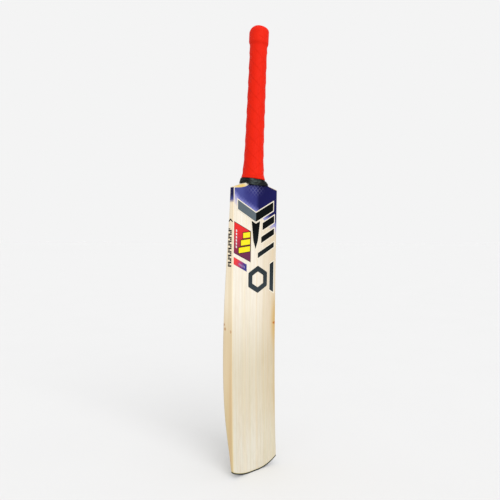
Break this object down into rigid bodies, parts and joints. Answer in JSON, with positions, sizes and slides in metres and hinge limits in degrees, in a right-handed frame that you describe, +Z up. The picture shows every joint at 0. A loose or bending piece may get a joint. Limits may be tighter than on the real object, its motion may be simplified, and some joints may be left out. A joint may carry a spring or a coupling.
{
  "type": "cricket bat",
  "caption": "Full-size cricket bat: willow blade, spliced cane handle with rubber springs, patterned red rubber grip, taped neck, rubber toe guard and plain graphic stickers.",
  "frame": {"origin": "on the flat underside of the toe, on the bat's middle plane", "axes": "+X across the blade, +Y from the hitting face to the spine, +Z up from toe to handle"},
  "size_m": [0.1088, 0.0901, 0.8502],
  "materials": {
    "willow": "pale straight-grained willow, lightly oiled",
    "cane": "raw laminated cane",
    "spring_rubber": "dark sheet rubber",
    "twine": "waxed linen twine",
    "grip_rubber": "bright red, ribbed, satin",
    "collar_tape": "black stretched tape with a soft sheen",
    "toe_rubber": "black sheet rubber",
    "print_blue": "satin printed film, blue to navy",
    "print_black": "satin printed film, black",
    "print_grey": "satin printed film, slate grey",
    "print_red": "glossy printed film, red to purple",
    "print_violet": "glossy printed film, red to blue"
  },
  "bodies": {
    "root": {"blade": "willow", "toe_guard": "toe_rubber", "handle_binding": "twine", "grip": "grip_rubber", "collar_tape": "collar_tape", "shoulder_sticker": "print_blue", "edge_shoulder_sticker_left": "print_blue", "edge_shoulder_sticker_right": "print_blue", "chevron_sticker_left": "print_grey", "chevron_sticker_right": "print_black", "spear_sticker": "print_black", "arm_sticker_1": "print_black", "arm_sticker_2": "print_black", "arm_sticker_3": "print_black", "tail_sticker": "print_black", "hexagon_sticker": "print_black", "panel_sticker": "print_red", "bar_sticker": "print_violet", "edge_label_sticker": "print_black", "cane_front_left": "cane", "cane_front_middle": "cane", "cane_front_right": "cane", "cane_front_inner_left": "cane", "cane_front_inner_middle": "cane", "cane_front_inner_right": "cane", "cane_back_inner_left": "cane", "cane_back_inner_middle": "cane", "cane_back_inner_right": "cane", "cane_back_left": "cane", "cane_back_middle": "cane", "cane_back_right": "cane", "rubber_spring_front": "spring_rubber", "rubber_spring_middle": "spring_rubber", "rubber_spring_back": "spring_rubber"}
  },
  "joints": []
}
